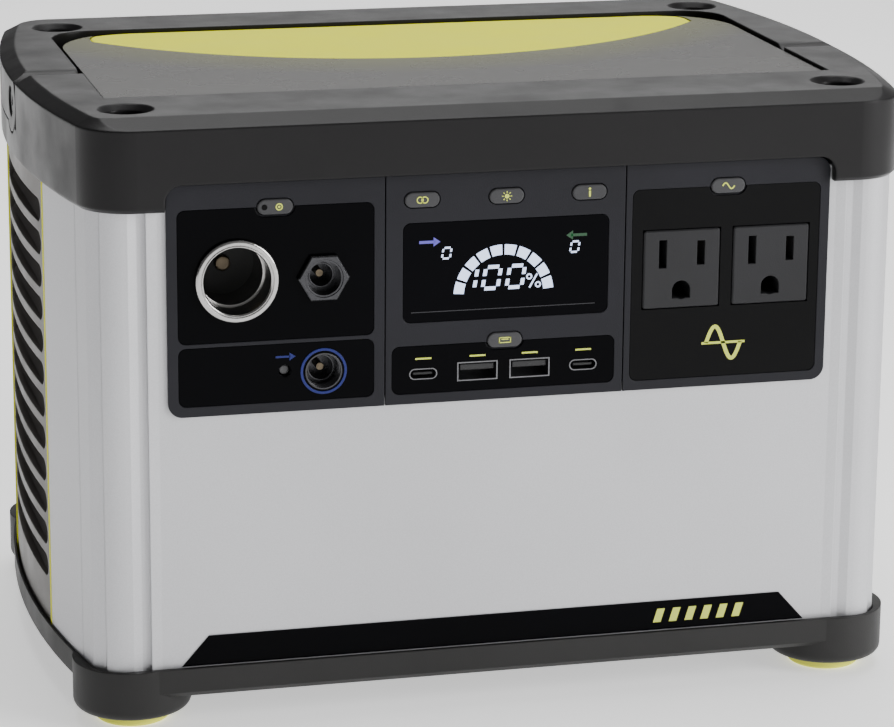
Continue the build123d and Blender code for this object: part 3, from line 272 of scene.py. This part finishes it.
# Which material each CAD node takes, by the start of its name
NODE_FINISH = (
    ("base_tray", "tray"), ("foot_", "foot"), ("trim_", "lime"), ("front_shell", "aluminium"),
    ("rear_shell", "aluminium"), ("left_vent", "vent"), ("right_vent", "vent"), ("top_cover", "lid"),
    ("handle", "lid"), ("deck_insert", "deck"), ("grip_insert", "lime"), ("pivot_pins", "steel"),
    ("pivot_washers", "nylon"), ("case_screws", "steel"), ("nameplate", "gloss"), ("bezel_", "bezel"),
    ("inlay_ac", "matte"), ("inlay_", "gloss"), ("display_window", "window"), ("lcd_module", "matte"),
    ("socket_12v_shell", "chrome"), ("socket_12v_insulator", "inner"), ("socket_12v_contact", "brass"),
    ("dc_port", "port"), ("input_port_ring", "blue"), ("input_port_body", "port"), ("input_led", "lens"),
    ("port_pins", "brass"), ("usb_tongues", "tongue"), ("usb_", "usb"), ("outlet_contacts", "brass"),
    ("outlet_", "outlet"), ("button_", "button"), ("battery_cells", "wrap"), ("cell_holders", "inner"),
    ("battery_board", "board"), ("inverter_board", "board"), ("panel_board", "board"), ("fan_", "fan"),
)


def finish_of(node):
    """Name of the material that a CAD node takes."""
    return next(finish for start, finish in NODE_FINISH if node.startswith(start))


def dress_nodes():
    for name, obj in NODES.items():
        obj.data.materials.clear()
        obj.data.materials.append(MATERIALS[finish_of(name)])


# ---------------------------------------------------------------- piece helpers

def middle(node):
    """Centre of a CAD node's box."""
    low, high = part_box(node)
    return (low + high) / 2


def face_y(node):
    """Depth of a CAD node's front face."""
    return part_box(node)[0].y


def make_piece(name, mesh, finish, body="case"):
    obj = bpy.data.objects.new(name, mesh)
    bpy.context.scene.collection.objects.link(obj)
    obj.data.materials.append(MATERIALS[finish])
    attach(obj, body)
    return obj


def marks(name, outlines, y, finish, body="case"):
    """Flat printed marks on a face that looks forwards: closed outlines of (x, z) points."""
    bm = bmesh.new()
    for outline in outlines:
        front = [bm.verts.new((x, y - SKIN - INK_THICKNESS, z)) for x, z in outline]
        back = [bm.verts.new((x, y - SKIN, z)) for x, z in outline]
        bm.faces.new(front)
        bm.faces.new(list(reversed(back)))
        for k in range(len(outline)):
            following = (k + 1) % len(outline)
            bm.faces.new((front[k], back[k], back[following], front[following]))
    bmesh.ops.recalc_face_normals(bm, faces=bm.faces[:])
    bmesh.ops.triangulate(bm, faces=[f for f in bm.faces if len(f.verts) > 4])
    mesh = bpy.data.meshes.new(name)
    bm.to_mesh(mesh)
    bm.free()
    return make_piece(name, mesh, finish, body)


def bar(x0, z0, x1, z1, width):
    """Outline of a straight stroke between two points."""
    along = Vector((x1 - x0, z1 - z0)).normalized()
    across = Vector((-along.y, along.x)) * width / 2
    return [
        (x0 + across.x, z0 + across.y), (x0 - across.x, z0 - across.y),
        (x1 - across.x, z1 - across.y), (x1 + across.x, z1 + across.y),
    ]


def arc_band(cx, cz, inner, outer, start, end, steps=12):
    """Outline of a ring segment between two angles in degrees."""
    angles = [math.radians(start + (end - start) * k / steps) for k in range(steps + 1)]
    rim = [(cx + outer * math.cos(a), cz + outer * math.sin(a)) for a in angles]
    bore = [(cx + inner * math.cos(a), cz + inner * math.sin(a)) for a in reversed(angles)]
    return rim + bore


def ring(cx, cz, inner, outer):
    """A full ring as two half segments."""
    return [arc_band(cx, cz, inner, outer, 0, 180), arc_band(cx, cz, inner, outer, 180, 360)]


def disc(cx, cz, radius, steps=20):
    return [
        (cx + radius * math.cos(2 * math.pi * k / steps), cz + radius * math.sin(2 * math.pi * k / steps))
        for k in range(steps)
    ]


def wave(cx, cz, width, height, stroke, steps=28):
    """Outline of one sine period drawn as a stroke of even width."""
    points = []
    for k in range(steps + 1):
        t = k / steps
        x = cx + (t - 0.5) * width
        z = cz + math.sin(2 * math.pi * t) * height / 2
        slope = math.cos(2 * math.pi * t) * math.pi * height / width
        scale = stroke / 2 / math.hypot(1, slope)
        points.append(((x - slope * scale, z + scale), (x + slope * scale, z - scale)))
    return [upper for upper, _ in points] + [lower for _, lower in reversed(points)]


def leaning(outline, base_z, lean=0.16):
    """An outline sheared to lean to the right, as the display's digits do."""
    return [(x + (z - base_z) * lean, z) for x, z in outline]


# ---------------------------------------------------------------- pieces

SEGMENTS = {"0": "abcdef", "1": "bc"}  # the seven-segment strokes of each digit


def digit(char, left, base, width, height, stroke):
    """Seven-segment digit as separate strokes, leaning to the right."""
    right, top, waist = left + width, base + height, base + height / 2
    gap = stroke * 0.54
    strokes = {
        "a": (left + gap, top, right - gap, top), "d": (left + gap, base, right - gap, base),
        "b": (right, waist + gap, right, top - gap), "c": (right, base + gap, right, waist - gap),
        "e": (left, base + gap, left, waist - gap), "f": (left, waist + gap, left, top - gap),
    }
    return [leaning(bar(*strokes[s], stroke), base) for s in SEGMENTS[char]]


def arrow(tail, neck, barb, tip, z, thickness, spread):
    """Arrow along x: a shaft from tail to neck, and a head from its barbs to its tip."""
    return [
        bar(tail, z, neck, z, thickness),
        [(tip, z), (barb, z + spread), (barb, z - spread)],
    ]


GAUGE_BLOCKS = 10
GAUGE_STEP = 17.35  # degrees from one block of the gauge to the next
GAUGE_BLOCK = 14.2
GAUGE_RADII = (13.0 * MM, 16.3 * MM)
FIGURE_HEIGHT = 6.9 * MM
FIGURE_STROKE = 1.2 * MM


def display_figure(cx, base):
    """The charge figure with its percent sign."""
    figure = []
    for char, left, width in (("1", -13.6, 4.0), ("0", -6.9, 4.9), ("0", 0.9, 4.9)):
        place = (cx + left * MM, base + 0.6 * MM)
        figure += digit(char, *place, width * MM, FIGURE_HEIGHT, FIGURE_STROKE)
    percent_x = cx + 9.7 * MM
    foot, top = base + 0.2 * MM, base + 4.6 * MM
    figure.append(bar(percent_x - 1.3 * MM, foot, percent_x + 1.2 * MM, top, 0.55 * MM))
    for dx, dz in ((-1.4, 3.8), (1.5, 1.1)):
        figure += ring(percent_x + dx * MM, base + dz * MM, 0.5 * MM, 1.0 * MM)
    return figure


def display_content():
    """Charge gauge, charge figure and the in and out readings on the display window."""
    low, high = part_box("display_window")
    y = low.y
    cx = (low.x + high.x) / 2 - 0.8 * MM
    base = low.z + 9.2 * MM
    gauge = []
    for k in range(GAUGE_BLOCKS):
        start = 176 - k * GAUGE_STEP
        gauge.append(arc_band(cx, base - 1.7 * MM, *GAUGE_RADII, start, start - GAUGE_BLOCK, 6))
    marks("display_gauge", gauge, y, "glow_white")
    marks("display_figure", display_figure(cx, base), y, "glow_white")
    rule_z = low.z + 3.2 * MM
    rule = bar(cx - 30 * MM, rule_z, cx + 30 * MM, rule_z, 0.25 * MM)
    marks("display_rule", [rule], y, "faint_ink")
    arrow_z = high.z - 6.2 * MM
    reading_z = base + 11.0 * MM
    for name, x, finish, way in (
        ("display_input", low.x + 8.5 * MM, "glow_blue", 1),
        ("display_output", high.x - 10.5 * MM, "glow_green", -1),
    ):
        tail, neck, barb, tip = (x + way * reach * MM for reach in (-3.4, 1.8, 1.2, 3.4))
        marks(name, arrow(tail, neck, barb, tip, arrow_z, 0.9 * MM, 1.5 * MM), y, finish)
        left = x + (way * 3.0 + 2.5 - 1.6) * MM
        value = digit("0", left, reading_z, 2.6 * MM, 3.4 * MM, 0.62 * MM)
        marks(name + "_value", value, y, "glow_white")


def socket_icon(x, z):
    centre = x + 1.2 * MM
    return ring(centre, z, 0.75 * MM, 1.15 * MM) + [disc(centre, z, 0.4 * MM)]


def linked_rings_icon(x, z):
    return [half for side in (-1, 1) for half in ring(x + side * 0.75 * MM, z, 0.8 * MM, 1.15 * MM)]


def sun_icon(x, z):
    rays = []
    for k in range(8):
        a = math.pi * k / 4
        (x0, z0), (x1, z1) = (
            (x + r * MM * math.cos(a), z + r * MM * math.sin(a)) for r in (1.1, 1.6)
        )
        rays.append(bar(x0, z0, x1, z1, 0.3 * MM))
    return [disc(x, z, 0.75 * MM)] + rays


def dot_and_stem_icon(x, z):
    return [disc(x, z + 1.15 * MM, 0.38 * MM), bar(x, z - 1.4 * MM, x, z + 0.5 * MM, 0.6 * MM)]


def plug_icon(x, z):
    """Outline of a flat plug with its tongue."""
    strokes = (
        (-1.9, 0.8, 1.9, 0.8, 0.3), (-1.9, -0.8, 1.9, -0.8, 0.3), (-1.8, -0.9, -1.8, 0.9, 0.3),
        (1.8, -0.9, 1.8, 0.9, 0.3), (-1.1, 0.25, 1.1, 0.25, 0.35),
    )
    return [
        bar(x + x0 * MM, z + z0 * MM, x + x1 * MM, z + z1 * MM, width * MM)
        for x0, z0, x1, z1, width in strokes
    ]


def wave_icon(x, z):
    return [wave(x, z, 4.0 * MM, 1.9 * MM, 0.42 * MM)]


ICONS = {
    "button_12v": socket_icon,
    "button_pairing": linked_rings_icon,
    "button_light": sun_icon,
    "button_info": dot_and_stem_icon,
    "button_usb": plug_icon,
    "button_ac": wave_icon,
}


def button_icons():
    """A small generic symbol on each button: what it switches, without words."""
    for node in sorted(ICONS):
        c = middle(node)
        marks(node + "_icon", ICONS[node](c.x, c.z), face_y(node), "ink", node + "_body")
    c = middle("button_12v")
    lamp = disc(c.x - 3.4 * MM, c.z, 0.9 * MM)
    marks("button_12v_lamp", [lamp], face_y("button_12v"), "matte", "button_12v_body")


def panel_marks():
    """Generic lime marks printed on the inlays."""
    low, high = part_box("inlay_ac")
    cx, y = (low.x + high.x) / 2, low.y
    z = low.z + 11.0 * MM
    sine = [wave(cx, z, 11.6 * MM, 10.8 * MM, 1.3 * MM), bar(cx - 7.3 * MM, z, cx + 7.3 * MM, z, 0.8 * MM)]
    marks("ac_wave_mark", sine, y, "ink")
    ticks = []
    for node in ("usb_a_left", "usb_a_right", "usb_c_left", "usb_c_right"):
        spot = middle(node)
        tick_z = spot.z + 5.0 * MM
        ticks.append(bar(spot.x - 2.6 * MM, tick_z, spot.x + 2.6 * MM, tick_z, 0.55 * MM))
    marks("usb_port_marks", ticks, face_y("inlay_usb"), "ink")
    spot = middle("input_led")
    tail, neck, barb, tip = (spot.x + reach * MM for reach in (-3, 1.6, 1.4, 3.4))
    pointer = arrow(tail, neck, barb, tip, spot.z + 4.6 * MM, 0.7 * MM, 1.3 * MM)
    marks("input_arrow_mark", pointer, face_y("inlay_input"), "blue")


def nameplate_marks():
    """Slanted lime bars where a maker would print a name."""
    low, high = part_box("nameplate")
    height = 4.6 * MM
    base = (low.z + high.z) / 2 - height / 2
    bars = []
    for k in range(6):
        x = high.x - (52 - k * 5.4) * MM
        wide, lean = 2.6 * MM, 1.4 * MM
        top = base + height
        bars.append([(x, base), (x + wide, base), (x + wide + lean, top), (x + lean, top)])
    marks("nameplate_bars", bars, low.y, "ink")


def port_thread():
    """Thread ridges on the wall of the input port's mouth."""
    low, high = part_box("input_port_body")
    centre = (low + high) / 2
    bm = bmesh.new()
    steps = 48
    for turn in range(4):
        y = low.y + (1.0 + turn * 0.95) * MM
        profile = (
            (THREAD_RADIUS + 0.1 * MM, y - 0.35 * MM), (THREAD_RADIUS - 0.3 * MM, y),
            (THREAD_RADIUS + 0.1 * MM, y + 0.35 * MM),
        )
        loops = []
        for k in range(steps):
            a = 2 * math.pi * k / steps
            loops.append([
                bm.verts.new((centre.x + r * math.cos(a), depth, centre.z + r * math.sin(a)))
                for r, depth in profile
            ])
        for k in range(steps):
            here, there = loops[k], loops[(k + 1) % steps]
            for j in range(3):
                following = (j + 1) % 3
                bm.faces.new((here[j], here[following], there[following], there[j]))
    bmesh.ops.recalc_face_normals(bm, faces=bm.faces[:])
    mesh = bpy.data.meshes.new("input_port_thread")
    bm.to_mesh(mesh)
    bm.free()
    make_piece("input_port_thread", mesh, "port")


# ---------------------------------------------------------------- stage

CAMERA_PLACE = (-0.2794, -1.1170, 0.4021)
CAMERA_YAW = 14.327
CAMERA_PITCH = 15.205
CAMERA_ROLL = 0.464
CAMERA_LENS = 139.48


def make_camera():
    """Camera in front of the left corner, looking slightly down."""
    yaw, pitch, roll = (math.radians(a) for a in (CAMERA_YAW, CAMERA_PITCH, CAMERA_ROLL))
    ahead = Vector((math.sin(yaw) * math.cos(pitch), math.cos(yaw) * math.cos(pitch), -math.sin(pitch)))
    level = Vector((math.cos(yaw), -math.sin(yaw), 0))
    upright = level.cross(ahead)
    right = level * math.cos(roll) + upright * math.sin(roll)
    up = upright * math.cos(roll) - level * math.sin(roll)
    data = bpy.data.cameras.new("camera")
    data.sensor_width = 36.0
    data.lens = CAMERA_LENS
    data.clip_start = 0.01
    camera = bpy.data.objects.new("camera", data)
    turn = Matrix((right, up, -ahead)).transposed().to_4x4()
    camera.matrix_world = Matrix.Translation(CAMERA_PLACE) @ turn
    bpy.context.scene.collection.objects.link(camera)
    bpy.context.scene.camera = camera


def area_light(name, place, target, size, power, tint=(1, 1, 1)):
    data = bpy.data.lights.new(name, "AREA")
    data.shape = "RECTANGLE"
    data.size, data.size_y = size
    data.energy = power
    data.color = tint
    light = bpy.data.objects.new(name, data)
    light.location = place
    light.rotation_euler = (Vector(target) - Vector(place)).to_track_quat("-Z", "Y").to_euler()
    bpy.context.scene.collection.objects.link(light)


def studio_world(tree):
    """World light: soft, stronger towards the right than the left, dimmer overhead."""
    place = tree.nodes.new("ShaderNodeTexCoord").outputs["Generated"]
    split = tree.nodes.new("ShaderNodeSeparateXYZ")
    tree.links.new(place, split.inputs["Vector"])
    shades = []
    for axis, dark, light in (("X", 0.16, 0.60), ("Z", 1.0, 0.45)):
        half = tree.nodes.new("ShaderNodeMath")
        half.operation = "MULTIPLY_ADD"
        half.inputs[1].default_value = 0.5
        half.inputs[2].default_value = 0.5
        tree.links.new(split.outputs[axis], half.inputs[0])
        ramp = tree.nodes.new("ShaderNodeValToRGB")
        tree.links.new(half.outputs["Value"], ramp.inputs["Fac"])
        start, end = ramp.color_ramp.elements
        start.position, start.color = 0.1, (dark, dark, dark, 1)
        end.position, end.color = 0.9, (light, light, light, 1)
        shades.append(ramp.outputs["Color"])
    blend = tree.nodes.new("ShaderNodeMix")
    blend.data_type = "RGBA"
    blend.blend_type = "MULTIPLY"
    blend.inputs["Factor"].default_value = 1.0
    tree.links.new(shades[0], blend.inputs[6])
    tree.links.new(shades[1], blend.inputs[7])
    tree.links.new(blend.outputs[2], tree.nodes["Background"].inputs["Color"])


def make_stage():
    """Pale floor, a dark flag behind the left side, and soft studio lights."""
    n = Nodes("stage_floor")
    pale = n.ramp(n.noise(3.0), (0.3, 0.86), (0.7, 0.90))
    n.set(Base_Color=pale, Roughness=0.9, Emission_Color=pale, Emission_Strength=0.85)
    bpy.ops.mesh.primitive_plane_add(size=14)
    floor = bpy.context.object
    floor.name = "stage_floor"
    floor.data.materials.append(n.material)
    n = Nodes("stage_flag")
    n.set(Base_Color=(0.03, 0.03, 0.03, 1), Roughness=0.9)
    upright = (math.pi / 2, 0, 0.5)
    bpy.ops.mesh.primitive_plane_add(size=1.8, location=(-1.1, 1.6, 0.6), rotation=upright)
    flag = bpy.context.object
    flag.name = "stage_flag"
    flag.visible_camera = False
    flag.data.materials.append(n.material)
    world = bpy.data.worlds.new("studio")
    world.use_nodes = True
    studio_world(world.node_tree)
    bpy.context.scene.world = world
    centre = (0, 0, 0.1)
    area_light("key", (1.5, -1.3, 0.8), centre, (0.9, 1.2), 34)
    area_light("overhead", (0.2, 0.5, 1.8), centre, (1.4, 1.4), 27)
    area_light("back_wall", (0.9, 3.2, 1.5), (0.2, 0.8, 0), (1.6, 0.8), 8)


make_camera()
make_stage()
dress_nodes()
display_content()
button_icons()
panel_marks()
nameplate_marks()
port_thread()
